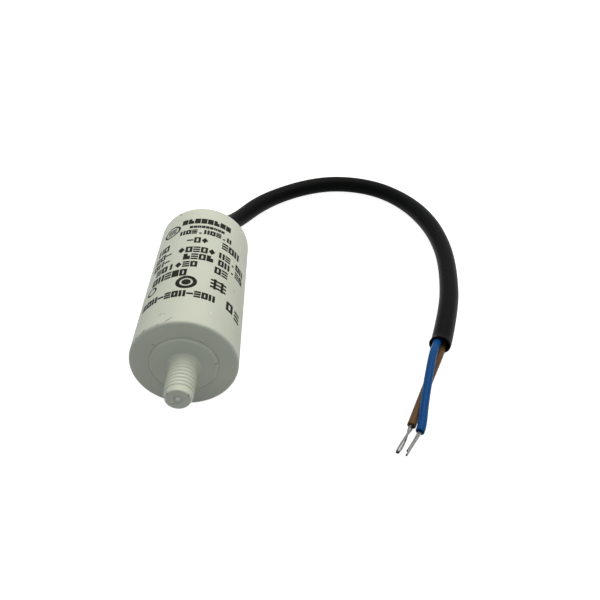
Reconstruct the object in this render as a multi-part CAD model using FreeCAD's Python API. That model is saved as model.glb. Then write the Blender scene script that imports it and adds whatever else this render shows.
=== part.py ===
import FreeCAD, Part
import math
import os

# Motor-run film capacitor lying on its side, as it comes to rest on a bench.
# The moulded case is a cup with a threaded fixing stud on its base (towards -Y).
# A wound film element stands in it, potted in resin under a round lid.
# A two-core cable leaves through the lid (towards +Y), sinks to the bench and curls
# round beside the case, where its two cores are stripped and tinned.
# Frame: millimetres, +Z up, bench at Z = 0, case axis along Y.
# The origin lies on the bench, below the middle of case and stud together.

V = FreeCAD.Vector

# Case: a moulded cup with its boss and stud in one piece
CASE_D = 30.0
CASE_LENGTH = 62.0
CASE_WALL = 1.2
BASE_WALL = 2.5
CAVITY_CORNER = 1.0
BASE_EDGE = 0.4
RIM_EDGE_R = 0.8
BOSS_D = 18.8
BOSS_HEIGHT = 0.8
BOSS_EDGE = 0.35
STUD_D = 8.0
STUD_LENGTH = 12.7
STUD_ROOT_D = 10.2
STUD_ROOT_LENGTH = 1.1
STUD_LEAD = 1.6
STUD_LEAD_D = 6.7
STUD_EDGE = 0.3
NUB_D = 1.9
NUB_TOP_D = 1.1
NUB_HEIGHT = 0.3

# Lid: a disc that drops on a shoulder inside the rim
LID_THICKNESS = 2.0
LID_RECESS = 0.8
LID_SHOULDER = 0.35
LID_FIT = 0.05
LID_EDGE = 0.3
SKIRT_DEPTH = 2.0
SKIRT_WALL = 0.8
SKIRT_FIT = 0.1
COLLAR_D = 10.0
CABLE_HOLE_FIT = 0.15

# Wound element: film on a hollow core, wrapped, with sprayed metal on both ends
RESIN_WALL = 0.9
RESIN_FLOOR = 3.9
LEAD_ROOM = 5.0
WRAP_THICKNESS = 0.4
CONTACT_THICKNESS = 0.6
CORE_D = 8.0
CORE_BORE_D = 5.2

# Cable and its two cores
SHEATH_D = 6.5
SHEATH_GRIP = 5.6
MOUTH_BORE_D = 5.3
MOUTH_DEPTH = 5.0
CORE_LEAD_OUT = 0.3
INSULATION_D = 2.5
CONDUCTOR_D = 1.1
CORE_GAP = 0.06
CORE_TILT = 15.0
LEAD_STRIP = 2.2
LEAD_BEND_R = 1.4
LEAD_STANDOFF = 0.1
SOLDER_D = 3.8
SOLDER_TOP_D = 1.8
SOLDER_HEIGHT = 1.5
WIRE_OVERRUN = 0.6

# Places along the axis, worked out from the sizes above
AXIS_Z = CASE_D / 2
STUD_TIP_Y = -(CASE_LENGTH + BOSS_HEIGHT + STUD_LENGTH + NUB_HEIGHT) / 2 + NUB_HEIGHT
BOSS_Y = STUD_TIP_Y + STUD_LENGTH
BASE_Y = BOSS_Y + BOSS_HEIGHT
RIM_Y = BASE_Y + CASE_LENGTH
LID_TOP_Y = RIM_Y - LID_RECESS
LID_SEAT_Y = LID_TOP_Y - LID_THICKNESS
RESIN_TOP_Y = LID_SEAT_Y - SKIRT_DEPTH
SHEATH_INNER_Y = RESIN_TOP_Y - SHEATH_GRIP
ELEMENT_Y = BASE_Y + BASE_WALL + RESIN_FLOOR
ELEMENT_END_Y = SHEATH_INNER_Y - LEAD_ROOM
FILM_Y = ELEMENT_Y + CONTACT_THICKNESS
FILM_END_Y = ELEMENT_END_Y - CONTACT_THICKNESS

# Radii that several pieces share
CASE_R = CASE_D / 2
CAVITY_R = CASE_R - CASE_WALL
WRAP_R = CAVITY_R - RESIN_WALL
FILM_R = WRAP_R - WRAP_THICKNESS
CORE_R = CORE_D / 2
SOLDER_OFFSET = (CORE_R + FILM_R) / 2
SHEATH_R = SHEATH_D / 2
INSULATION_R = INSULATION_D / 2
CONDUCTOR_R = CONDUCTOR_D / 2
CORE_OFFSET = INSULATION_R + CORE_GAP / 2

# The cable's route, chosen by hand from the lid to the cut end of the sheath:
# across and along from the lid's inner face, and how much of the fall from the
# case axis to the bench is still to come (1 at the lid, 0 lying on the bench)
CABLE_ROUTE = [
    (0.0, 0.0, 1.0),
    (0.0, 12.5, 1.0),
    (0.9, 24.5, 0.65),
    (6.7, 37.7, 0.065),
    (18.3, 58.1, 0.0),
    (34.8, 70.9, 0.0),
    (51.5, 75.8, 0.0),
    (69.0, 70.3, 0.0),
    (81.0, 55.8, 0.0),
    (87.5, 37.8, 0.0),
    (89.0, 18.3, 0.0),
    (87.0, -0.7, 0.0),
    (82.8, -20.9, 0.0),
    (76.2, -39.1, 0.0),
]

# The stripped cores come straight out of the sheath's mouth, and then follow these
# points: across and along from the middle of the mouth, and up from the bench.
# The brown core lies on the bench and the blue one crosses over it.
# The last bend of each is in its bare wire.
BLUE_ROUTE = [
    (-4.2, -7.7, 5.9),
    (-9.1, -23.0, 3.5),
    (-11.1, -31.5, 2.4),
    (-13.7, -36.9, 2.2),
    (-17.6, -42.0, 0.9),
]
BROWN_ROUTE = [
    (-2.1, -5.8, 1.9),
    (-6.9, -15.7, INSULATION_R),
    (-12.5, -27.7, INSULATION_R),
    (-15.4, -34.3, INSULATION_R),
    (-19.2, -40.3, 0.8),
]

# Share of the shorter run that an arc takes up on each side of its point
ARC_SHARE = 0.45


def disc(radius, y_low, y_high):
    """A round solid on the case axis between two places along it."""
    return Part.makeCylinder(radius, y_high - y_low, V(0, y_low, AXIS_Z), V(0, 1, 0))


def ring(radius, bore_radius, y_low, y_high):
    """A round solid on the case axis with a round hole through it."""
    return disc(radius, y_low, y_high).cut(disc(bore_radius, y_low, y_high))


def edges_at(solid, y, radius):
    """The circular edges of this radius at this place along the axis."""
    return [
        edge
        for edge in solid.Edges
        if isinstance(edge.Curve, Part.Circle)
        and abs(edge.Curve.Center.y - y) < 1e-4
        and abs(edge.Curve.Radius - radius) < 1e-4
    ]


def bevel_edge(solid, y, radius, amount):
    """Break a small circular edge with a flat bevel."""
    return solid.makeChamfer(amount, edges_at(solid, y, radius))


def cone(radius, end_radius, start, axis):
    """A round solid whose radius changes evenly from its start along its axis."""
    return Part.makeCone(radius, end_radius, axis.Length, start, axis)


def rod(radius, start, end):
    """A straight round rod from one point to another."""
    return Part.makeCylinder(radius, (end - start).Length, start, end - start)


def path_edges(name, points, arc_radius=None):
    """Straight runs joined by tangent arcs, each as large as its two runs allow.

    With an arc_radius given, every arc has that radius instead.
    """
    edges = []
    radii = []
    place = points[0]
    for before, here, after in zip(points, points[1:], points[2:]):
        run_in = here - before
        run_out = after - here
        half_turn = run_in.getAngle(run_out) / 2
        if arc_radius is None:
            reach = ARC_SHARE * min(run_in.Length, run_out.Length)
        else:
            reach = arc_radius * math.tan(half_turn)
        radius = reach / math.tan(half_turn)
        run_in.normalize()
        run_out.normalize()
        arc_start = here - run_in * reach
        arc_end = here + run_out * reach
        inward = run_out - run_in
        inward.normalize()
        arc_middle = here + inward * radius * (1 / math.cos(half_turn) - 1)
        edges.append(Part.LineSegment(place, arc_start).toShape())
        edges.append(Part.Arc(arc_start, arc_middle, arc_end).toShape())
        radii.append(radius)
        place = arc_end
    edges.append(Part.LineSegment(place, points[-1]).toShape())
    print(name, "arc radii", [round(radius, 1) for radius in radii])
    return edges


def tube(name, radius, edges):
    """A solid round tube along a path, with its volume set against its length."""
    start = edges[0].Vertexes[0].Point
    heading = edges[0].tangentAt(edges[0].FirstParameter)
    profile = Part.Wire([Part.makeCircle(radius, start, heading)])
    solid = Part.Wire(edges).makePipeShell([profile], True, True)
    length = sum(edge.Length for edge in edges)
    expected = math.pi * radius**2 * length
    print(name, "length", round(length, 2), "volume / expected", round(solid.Volume / expected, 5))
    return solid


def cavity():
    """The space inside the case, from its floor to the lid's shoulder."""
    floor_y = BASE_Y + BASE_WALL
    space = disc(CAVITY_R, floor_y, LID_SEAT_Y)
    return bevel_edge(space, floor_y, CAVITY_R, CAVITY_CORNER)


def make_case():
    """The moulded cup, with the boss and the fixing stud on its base."""
    shell = disc(CASE_R, BASE_Y, RIM_Y)
    shell = bevel_edge(shell, BASE_Y, CASE_R, BASE_EDGE)
    shell = shell.makeFillet(RIM_EDGE_R, edges_at(shell, RIM_Y, CASE_R))
    boss = disc(BOSS_D / 2, BOSS_Y, BASE_Y)
    shank = disc(STUD_D / 2, STUD_TIP_Y + STUD_LEAD, BOSS_Y)
    tip = V(0, STUD_TIP_Y, AXIS_Z)
    lead = cone(STUD_LEAD_D / 2, STUD_D / 2, tip, V(0, STUD_LEAD, 0))
    nub = cone(NUB_D / 2, NUB_TOP_D / 2, tip, V(0, -NUB_HEIGHT, 0))
    root_axis = V(0, -STUD_ROOT_LENGTH, 0)
    root = cone(STUD_ROOT_D / 2, STUD_D / 2, V(0, BOSS_Y, AXIS_Z), root_axis)
    outside = shell.fuse([boss, shank, lead, root]).removeSplitter()
    outside = bevel_edge(outside, BOSS_Y, BOSS_D / 2, BOSS_EDGE)
    outside = bevel_edge(outside, STUD_TIP_Y, STUD_LEAD_D / 2, STUD_EDGE)
    outside = outside.fuse(nub)
    seat = disc(CAVITY_R + LID_SHOULDER, LID_SEAT_Y, RIM_Y)
    return outside.cut(cavity()).cut(seat)


def make_end_lid():
    """The round lid, with a skirt inside and a collar round the cable."""
    lid_r = CAVITY_R + LID_SHOULDER - LID_FIT
    skirt_r = CAVITY_R - SKIRT_FIT
    plate = disc(lid_r, LID_SEAT_Y, LID_TOP_Y)
    plate = bevel_edge(plate, LID_TOP_Y, lid_r, LID_EDGE)
    collar = disc(COLLAR_D / 2, LID_TOP_Y, RIM_Y)
    collar = bevel_edge(collar, RIM_Y, COLLAR_D / 2, LID_EDGE)
    skirt = ring(skirt_r, skirt_r - SKIRT_WALL, RESIN_TOP_Y, LID_SEAT_Y)
    hole = disc(SHEATH_R + CABLE_HOLE_FIT, RESIN_TOP_Y, RIM_Y)
    return plate.fuse([collar, skirt]).removeSplitter().cut(hole)


def make_lead(name, side, face_y, outward):
    """One lead inside the case: its insulation, its stripped wire and its solder joint.

    side is the core's side of the cable (-1 or +1), face_y the outer face of the end
    contact that it is soldered to, and outward the way that face looks along the axis.
    """
    start = V(side * CORE_OFFSET, SHEATH_INNER_Y, AXIS_Z)
    strip = V(start.x, face_y + LEAD_STRIP, AXIS_Z)
    corner = V(start.x, face_y + outward * (CONDUCTOR_R + LEAD_STANDOFF), AXIS_Z)
    end = V(side * (SOLDER_OFFSET + WIRE_OVERRUN), corner.y, AXIS_Z)
    insulation = rod(INSULATION_R, start, strip)
    wire = tube(name, CONDUCTOR_R, path_edges(name, [strip, corner, end], LEAD_BEND_R))
    joint = V(side * SOLDER_OFFSET, face_y, AXIS_Z)
    solder = cone(SOLDER_D / 2, SOLDER_TOP_D / 2, joint, V(0, outward * SOLDER_HEIGHT, 0))
    return insulation, wire, solder.cut(wire)


def make_potting(embedded):
    """The resin, which fills the case round everything that stands in it."""
    resin = cavity().common(disc(CASE_R, BASE_Y, RESIN_TOP_Y))
    for piece in embedded:
        resin = resin.cut(piece)
    return resin


def cable_points():
    """The cable's route in the part's frame."""
    fall = AXIS_Z - SHEATH_R
    return [V(x, LID_SEAT_Y + y, SHEATH_R + share * fall) for x, y, share in CABLE_ROUTE]


def make_sheath(route):
    """The cable's sheath, from inside the resin to its open end."""
    edges = path_edges("cable", [V(0, SHEATH_INNER_Y, AXIS_Z)] + route[1:])
    solid = tube("cable", SHEATH_R, edges)
    mouth = route[-1]
    back = route[-2] - mouth
    back.normalize()
    return solid.cut(rod(MOUTH_BORE_D / 2, mouth, mouth + back * MOUTH_DEPTH))


def make_core(name, side, route, offsets):
    """One stripped core outside: its insulation, and its bare wire from the last bend.

    side is -1 for the core on the left of the mouth and +1 for the one on the right.
    """
    mouth = route[-1]
    heading = mouth - route[-2]
    heading.normalize()
    right = V(-heading.y, heading.x, 0)
    tilt = math.radians(CORE_TILT)
    across = right * math.cos(tilt) - V(0, 0, 1) * math.sin(tilt)
    start = mouth - heading * MOUTH_DEPTH + across * side * CORE_OFFSET
    out = start + heading * (MOUTH_DEPTH + CORE_LEAD_OUT)
    points = [start, out] + [V(mouth.x + x, mouth.y + y, z) for x, y, z in offsets]
    edges = path_edges(name, points)
    insulation = tube(name + " core", INSULATION_R, edges[:-2])
    return insulation, tube(name + " wire", CONDUCTOR_R, edges[-2:])


def build():
    """Every piece by its name."""
    pieces = {}
    pieces["case"] = make_case()
    pieces["end_lid"] = make_end_lid()

    film = ring(FILM_R, CORE_R, FILM_Y, FILM_END_Y)
    pieces["film_winding"] = film
    pieces["winding_core"] = ring(CORE_R, CORE_BORE_D / 2, ELEMENT_Y, ELEMENT_END_Y)
    pieces["winding_wrap"] = ring(WRAP_R, FILM_R, ELEMENT_Y, ELEMENT_END_Y)
    pieces["base_end_contact"] = ring(FILM_R, CORE_R, ELEMENT_Y, FILM_Y)
    pieces["cable_end_contact"] = ring(FILM_R, CORE_R, FILM_END_Y, ELEMENT_END_Y)

    blue = make_lead("blue lead", -1, ELEMENT_END_Y, 1)
    brown = make_lead("brown lead", 1, ELEMENT_Y, -1)
    for colour, parts in (("blue", blue), ("brown", brown)):
        pieces[colour + "_lead"] = parts[0]
        pieces[colour + "_lead_wire"] = parts[1]
        pieces[colour + "_solder"] = parts[2]

    element = ring(WRAP_R, CORE_BORE_D / 2, ELEMENT_Y, ELEMENT_END_Y)
    sheath_stub = disc(SHEATH_R, SHEATH_INNER_Y, RIM_Y)
    pieces["potting_resin"] = make_potting([element, sheath_stub, *blue, *brown])

    route = cable_points()
    pieces["cable_sheath"] = make_sheath(route)
    pieces["blue_core"], pieces["blue_wire"] = make_core("blue", -1, route, BLUE_ROUTE)
    pieces["brown_core"], pieces["brown_wire"] = make_core("brown", 1, route, BROWN_ROUTE)
    return pieces


os.makedirs("parts", exist_ok=True)
for node, shape in build().items():
    shape.exportStep(os.path.join("parts", node + ".step"))
    print(node, "solids", len(shape.Solids), "valid", shape.isValid(), "volume", round(shape.Volume, 2))
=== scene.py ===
import logging
import math
from contextlib import contextmanager
from dataclasses import dataclass, field
from enum import Enum
from typing import Callable, Iterator, Optional, Sequence

import bpy
from mathutils import Euler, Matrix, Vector


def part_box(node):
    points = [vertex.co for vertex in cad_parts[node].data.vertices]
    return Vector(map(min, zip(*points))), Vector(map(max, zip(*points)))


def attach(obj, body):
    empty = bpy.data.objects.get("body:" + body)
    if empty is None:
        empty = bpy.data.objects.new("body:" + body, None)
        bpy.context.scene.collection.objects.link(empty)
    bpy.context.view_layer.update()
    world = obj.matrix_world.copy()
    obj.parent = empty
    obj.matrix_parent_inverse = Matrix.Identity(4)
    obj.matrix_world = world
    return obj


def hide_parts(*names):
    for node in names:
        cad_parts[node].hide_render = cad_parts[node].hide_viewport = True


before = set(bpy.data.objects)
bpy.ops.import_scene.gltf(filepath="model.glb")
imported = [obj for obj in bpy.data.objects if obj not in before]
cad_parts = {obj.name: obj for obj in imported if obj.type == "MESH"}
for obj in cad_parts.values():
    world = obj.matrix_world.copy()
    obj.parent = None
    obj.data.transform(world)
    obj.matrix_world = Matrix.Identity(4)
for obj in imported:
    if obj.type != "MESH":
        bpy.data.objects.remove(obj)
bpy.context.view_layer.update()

# Looks of a motor-run film capacitor: a moulded can with a threaded stud, lying on a
# pale bench with its black two-core cable curled round to the right.
# Coordinates are metres in the CAD frame. Sizes that a name or docstring gives in
# millimetres are turned into metres where a mesh is placed.

LOG = logging.getLogger("capacitor")
MM = 0.001
BODY = "root"

CASE_LOW, CASE_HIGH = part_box("case")
AXIS_Z = (CASE_LOW.z + CASE_HIGH.z) / 2
NodeInputs = dict[object, object]
Place = tuple[float, float, float]
Material = bpy.types.Material
Object = bpy.types.Object
Socket = bpy.types.NodeSocket
Tree = bpy.types.NodeTree


# Small helpers


def linear_colour(hex_text: str) -> tuple[float, float, float, float]:
    """Turn an sRGB colour such as "#CDD0BE" into the linear colour that a shader takes.

    Args:
        hex_text: the colour as six hexadecimal digits after a hash sign.

    Returns:
        Linear red, green and blue, with an alpha of 1.
    """
    channels = [int(hex_text[place : place + 2], 16) / 255 for place in (1, 3, 5)]
    low_end = 0.04045
    linear = [c / 12.92 if c <= low_end else ((c + 0.055) / 1.055) ** 2.4 for c in channels]
    return (*linear, 1.0)


def add_node(
    tree: Tree,
    kind: str,
    inputs: Optional[NodeInputs] = None,
    **settings: object,
) -> bpy.types.Node:
    """Add one node with its settings, its constants and its links.

    Args:
        tree: the node tree that it goes into.
        kind: the node's type after "ShaderNode", such as "TexNoise".
        inputs: a constant or an output socket for each input, by its name or number.
        settings: the node's own properties.

    Returns:
        The new node.
    """
    node = tree.nodes.new(f"ShaderNode{kind}")
    for name, value in settings.items():
        setattr(node, name, value)
    for key, value in (inputs or {}).items():
        if isinstance(value, Socket):
            tree.links.new(value, node.inputs[key])
        else:
            node.inputs[key].default_value = value
    return node


@contextmanager
def editing(piece: Object) -> Iterator[None]:
    """Open one piece in edit mode with nothing selected, and leave edit mode after.

    Args:
        piece: the mesh to edit.

    Yields:
        Nothing: the operators inside act on the piece.
    """
    if bpy.context.object and bpy.context.object.mode != "OBJECT":
        bpy.ops.object.mode_set(mode="OBJECT")
    pick_only(piece)
    bpy.ops.object.mode_set(mode="EDIT")
    bpy.ops.mesh.select_all(action="DESELECT")
    yield
    bpy.ops.object.mode_set(mode="OBJECT")


def pick_only(piece: Object) -> None:
    """Make this piece the only selected object, and the active one."""
    bpy.ops.object.select_all(action="DESELECT")
    piece.select_set(True)
    bpy.context.view_layer.objects.active = piece


def settle(piece: Object, smooth_degrees: float) -> Object:
    """Put a piece's place into its mesh and shade it smooth below an angle.

    Args:
        piece: the finished mesh.
        smooth_degrees: edges sharper than this stay crisp.

    Returns:
        The same piece, with its object at the origin.
    """
    pick_only(piece)
    bpy.ops.object.transform_apply(location=True, rotation=True, scale=True)
    bpy.ops.object.shade_smooth_by_angle(angle=math.radians(smooth_degrees))
    return piece


def apply_modifier(piece: Object, kind: str, **settings: object) -> None:
    """Add a modifier to a piece with its settings, and apply it.

    Args:
        piece: the mesh that it changes.
        kind: the modifier's type, such as "SOLIDIFY".
        settings: the modifier's own properties.
    """
    pick_only(piece)
    modifier = piece.modifiers.new(kind.title(), kind)
    for name, value in settings.items():
        setattr(modifier, name, value)
    bpy.ops.object.modifier_apply(modifier=modifier.name)


def dress(piece: Object, material: Material) -> None:
    """Give a piece this material all over."""
    piece.data.materials.clear()
    piece.data.materials.append(material)


def dress_node(node_name: str, material: Material) -> None:
    """Give a solid of the frame this material in each of its slots."""
    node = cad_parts[node_name]
    for material_slot in node.material_slots:
        material_slot.link = "OBJECT"
        material_slot.material = material


# Turned shapes


@dataclass(frozen=True)
class Corner:
    """A corner of a turned outline, in millimetres.

    along is its place on the case axis, out its distance from it, and blend the
    radius that rounds it.
    """

    along: float
    out: float
    blend: float = 0.0

    def point(self) -> Vector:
        """The corner in the plane of the outline."""
        return Vector((self.along, self.out))


def rounded_outline(corners: Sequence[Corner], steps: int = 6) -> list[Vector]:
    """Round the corners of an outline with tangent arcs.

    Args:
        corners: the outline's corners in order.
        steps: how many short lines stand for each arc.

    Returns:
        Points as (along, out) in millimetres.
    """
    outline = [corners[0].point()]
    for before, corner, after in zip(corners, corners[1:], corners[2:]):
        here = corner.point()
        if corner.blend == 0:
            outline.append(here)
            continue
        back = (before.point() - here).normalized()
        on = (after.point() - here).normalized()
        half_corner = back.angle(on) / 2
        middle = here + (back + on).normalized() * corner.blend / math.sin(half_corner)
        first = here + back * corner.blend / math.tan(half_corner) - middle
        last = here + on * corner.blend / math.tan(half_corner) - middle
        turn = math.atan2(first.x * last.y - first.y * last.x, first.dot(last))
        for step in range(steps + 1):
            cosine, sine = math.cos(turn * step / steps), math.sin(turn * step / steps)
            reach = (first.x * cosine - first.y * sine, first.x * sine + first.y * cosine)
            outline.append(middle + Vector(reach))
    outline.append(corners[-1].point())
    return outline


def spin_outline(name: str, outline: Sequence[Vector], segments: int) -> Object:
    """Draw an outline point by point and spin it about the case axis.

    Args:
        name: the new piece's name.
        outline: points as (along, out) in millimetres.
        segments: how many steps make the full turn.

    Returns:
        A closed mesh with its faces outwards.
    """
    places = [Vector((0.0, p.x * MM, AXIS_Z + p.y * MM)) for p in outline]
    bpy.ops.object.select_all(action="DESELECT")
    bpy.ops.mesh.primitive_plane_add(size=MM, location=places[0])
    piece = bpy.context.object
    piece.name = name
    with editing(piece):
        bpy.ops.mesh.select_all(action="SELECT")
        bpy.ops.mesh.merge(type="CENTER")
        for here, there in zip(places, places[1:]):
            bpy.ops.mesh.extrude_vertices_move(TRANSFORM_OT_translate={"value": there - here})
        bpy.ops.mesh.select_all(action="SELECT")
        bpy.ops.mesh.spin(
            steps=segments, angle=math.tau, center=(0.0, 0.0, AXIS_Z), axis=(0.0, 1.0, 0.0)
        )
        bpy.ops.mesh.select_all(action="SELECT")
        bpy.ops.mesh.remove_doubles(threshold=0.002 * MM)
        bpy.ops.mesh.normals_make_consistent(inside=False)
    return settle(piece, 35.0)


# Finishes


@dataclass(frozen=True)
class Mark:
    """A small mark on the can, as an ellipsoid in millimetres. Most are dirt and scuff marks; some paint
    shade, and one paints a highlight.

    centre is in the CAD frame, size its half lengths, turn its turn about the three
    axes in degrees, and strength how much its middle covers.
    """

    centre: Place
    size: Place
    turn: Place
    strength: float


@dataclass(frozen=True)
class Finish:
    """A finish with two tones and one shader, named for the real material."""

    name: str
    colour: str
    second_colour: str
    roughness: float

    def make(self) -> Material:
        """Build the material and return it."""
        material = bpy.data.materials.new(self.name)
        material.use_nodes = True
        tree = material.node_tree
        tree.nodes.clear()
        shader = add_node(tree, "BsdfPrincipled", self._surface(tree))
        add_node(tree, "OutputMaterial", {"Surface": shader.outputs["BSDF"]})
        return material

    def _surface(self, tree: Tree) -> NodeInputs:
        """The shader's inputs, which each finish works out for itself."""
        raise NotImplementedError

    def _tones(self, tree: Tree, share: Socket) -> Socket:
        """The colour between the two tones.

        Args:
            tree: the material's node tree.
            share: 0 where the first tone shows and 1 where the second does.

        Returns:
            The socket that carries the colour.
        """
        return add_node(
            tree,
            "Mix",
            {"Factor": share, "A": linear_colour(self.colour), "B": linear_colour(self.second_colour)},
            data_type="RGBA",
        ).outputs["Result"]

    def _uneven(self, tree: Tree, share: Socket, swing: float) -> Socket:
        """The roughness, a little lower and higher from place to place.

        Args:
            tree: the material's node tree.
            share: 0 where it is smoothest and 1 where it is roughest.
            swing: how far it goes either way.

        Returns:
            The socket that carries the roughness.
        """
        low, high = self.roughness - swing, self.roughness + swing
        return add_node(
            tree, "MapRange", {"Value": share, "To Min": low, "To Max": high}
        ).outputs["Result"]


@dataclass(frozen=True)
class MouldedPlastic(Finish):
    """Injection-moulded glass-filled nylon: satin and slightly cloudy, never shiny.

    Light goes a little way into it, so that thin parts such as the stud look paler. A
    mark covers fully up to full_reach of its half size and ends at end_reach, and
    edge_grain says how much the fine grain moves that edge.
    """

    name: str = "moulded_nylon"
    colour: str = "#D9DCCD"
    second_colour: str = "#CFD2C2"
    roughness: float = 0.52
    swing: float = 0.06
    glow: float = 0.12
    glow_mm: float = 2.5
    cloud_mm: float = 9.0
    grain_mm: float = 0.35
    grain_depth_mm: float = 0.02
    # Dark marks: dirt, and painted shade in the groove beside the boss and in small notches.
    stains_and_shade: tuple[Mark, ...] = ()
    stain_and_shade_colour: str = "#4A4A40"
    # Pale marks: scuff marks, and a painted highlight on the gate nub.
    scuffs_and_highlight: tuple[Mark, ...] = ()
    scuff_and_highlight_colour: str = "#FFFFFA"
    full_reach: float = 0.6
    end_reach: float = 1.45
    edge_grain: float = 0.9

    def _surface(self, tree: Tree) -> NodeInputs:
        """Soft clouds of tone, fine grain, and the marks over both."""
        place = add_node(tree, "TexCoord").outputs["Object"]
        clouds, grain = (
            add_node(
                tree, "TexNoise", {"Vector": place, "Scale": 1 / (size * MM), "Detail": detail}
            ).outputs["Fac"]
            for size, detail in ((self.cloud_mm, 3.0), (self.grain_mm, 2.0))
        )
        colour = self._tones(tree, clouds)
        # The dark marks are dirt and painted shade; the pale marks are scuff marks and a painted
        # highlight.
        for marks, tone in ((self.stains_and_shade, self.stain_and_shade_colour), (self.scuffs_and_highlight, self.scuff_and_highlight_colour)):
            if marks:
                cover = self._cover(tree, place, grain, marks)
                colour = add_node(
                    tree,
                    "Mix",
                    {"Factor": cover, "A": colour, "B": linear_colour(tone)},
                    data_type="RGBA",
                ).outputs["Result"]
        bump = add_node(
            tree,
            "Bump",
            {"Height": grain, "Strength": 0.25, "Distance": self.grain_depth_mm * MM},
        )
        return {
            "Base Color": colour,
            "Roughness": self._uneven(tree, clouds, self.swing),
            "Normal": bump.outputs["Normal"],
            "IOR": 1.53,
            "Subsurface Weight": self.glow,
            "Subsurface Radius": (1.0, 0.9, 0.75),
            "Subsurface Scale": self.glow_mm * MM,
        }

    def _cover(self, tree: Tree, place: Socket, grain: Socket, marks: Sequence[Mark]) -> Socket:
        """Where the marks lie: 1 in the middle of a full-strength mark.

        Args:
            tree: the material's node tree.
            place: the point on the object.
            grain: fine noise that breaks up the marks' edges.
            marks: the marks of one tone.

        Returns:
            The socket that carries how much they cover.
        """
        total = None
        for mark in marks:
            inside = add_node(
                tree,
                "Mapping",
                {
                    "Vector": place,
                    "Location": [c * MM for c in mark.centre],
                    "Rotation": [math.radians(a) for a in mark.turn],
                    "Scale": [s * MM for s in mark.size],
                },
                vector_type="TEXTURE",
            ).outputs["Vector"]
            reach = add_node(tree, "VectorMath", {0: inside}, operation="LENGTH")
            ragged = add_node(
                tree,
                "Math",
                {0: grain, 1: self.edge_grain, 2: reach.outputs["Value"]},
                operation="MULTIPLY_ADD",
            )
            amount = add_node(
                tree,
                "MapRange",
                {
                    "Value": ragged.outputs["Value"],
                    "From Min": self.end_reach,
                    "From Max": self.full_reach,
                    "To Min": 0.0,
                    "To Max": mark.strength,
                },
            ).outputs["Result"]
            if total is not None:
                amount = add_node(
                    tree, "Math", {0: total, 1: amount}, operation="MAXIMUM"
                ).outputs["Value"]
            total = amount
        return total


@dataclass(frozen=True)
class PrintInk(Finish):
    """Pad-printed ink: a thin dark olive film, satin, a little uneven in its cover."""

    name: str = "pad_print_ink"
    colour: str = "#0E0E08"
    second_colour: str = "#20201A"
    roughness: float = 0.6
    patch_mm: float = 0.9

    def _surface(self, tree: Tree) -> NodeInputs:
        """Patches where the film is thinner and so a little paler."""
        place = add_node(tree, "TexCoord").outputs["Object"]
        patches = add_node(
            tree, "TexNoise", {"Vector": place, "Scale": 1 / (self.patch_mm * MM), "Detail": 2.0}
        )
        thin = add_node(
            tree,
            "MapRange",
            {"Value": patches.outputs["Fac"], "From Min": 0.45, "From Max": 0.75},
        ).outputs["Result"]
        return {
            "Base Color": self._tones(tree, thin),
            "Roughness": self.roughness,
            "IOR": 1.5,
            "Specular IOR Level": 0.1,
        }


@dataclass(frozen=True)
class ExtrudedVinyl(Finish):
    """Extruded PVC: satin, with faint draw lines along it and a soft cloudy tone.

    It reads the piece's own map: U goes once round the cord and V along it in metres.
    """

    specular: float
    swing: float = 0.08
    line_count: float = 40.0
    lines_per_metre: float = 60.0
    line_depth_mm: float = 0.006
    cloud_mm: float = 6.0

    def _surface(self, tree: Tree) -> NodeInputs:
        """Clouds of tone on Object coordinates, and draw lines on the piece's map."""
        coordinates = add_node(tree, "TexCoord").outputs
        clouds = add_node(
            tree,
            "TexNoise",
            {"Vector": coordinates["Object"], "Scale": 1 / (self.cloud_mm * MM), "Detail": 4.0},
        ).outputs["Fac"]
        stretch = (self.line_count, self.lines_per_metre, 1.0)
        stretched = add_node(
            tree, "Mapping", {"Vector": coordinates["UV"], "Scale": stretch}
        ).outputs["Vector"]
        lines = add_node(
            tree, "TexNoise", {"Vector": stretched, "Scale": 1.0, "Detail": 2.0}
        ).outputs["Fac"]
        bump = add_node(
            tree,
            "Bump",
            {"Height": lines, "Strength": 0.5, "Distance": self.line_depth_mm * MM},
        )
        return {
            "Base Color": self._tones(tree, clouds),
            "Roughness": self._uneven(tree, clouds, self.swing),
            "Normal": bump.outputs["Normal"],
            "IOR": 1.53,
            "Specular IOR Level": self.specular,
        }


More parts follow.
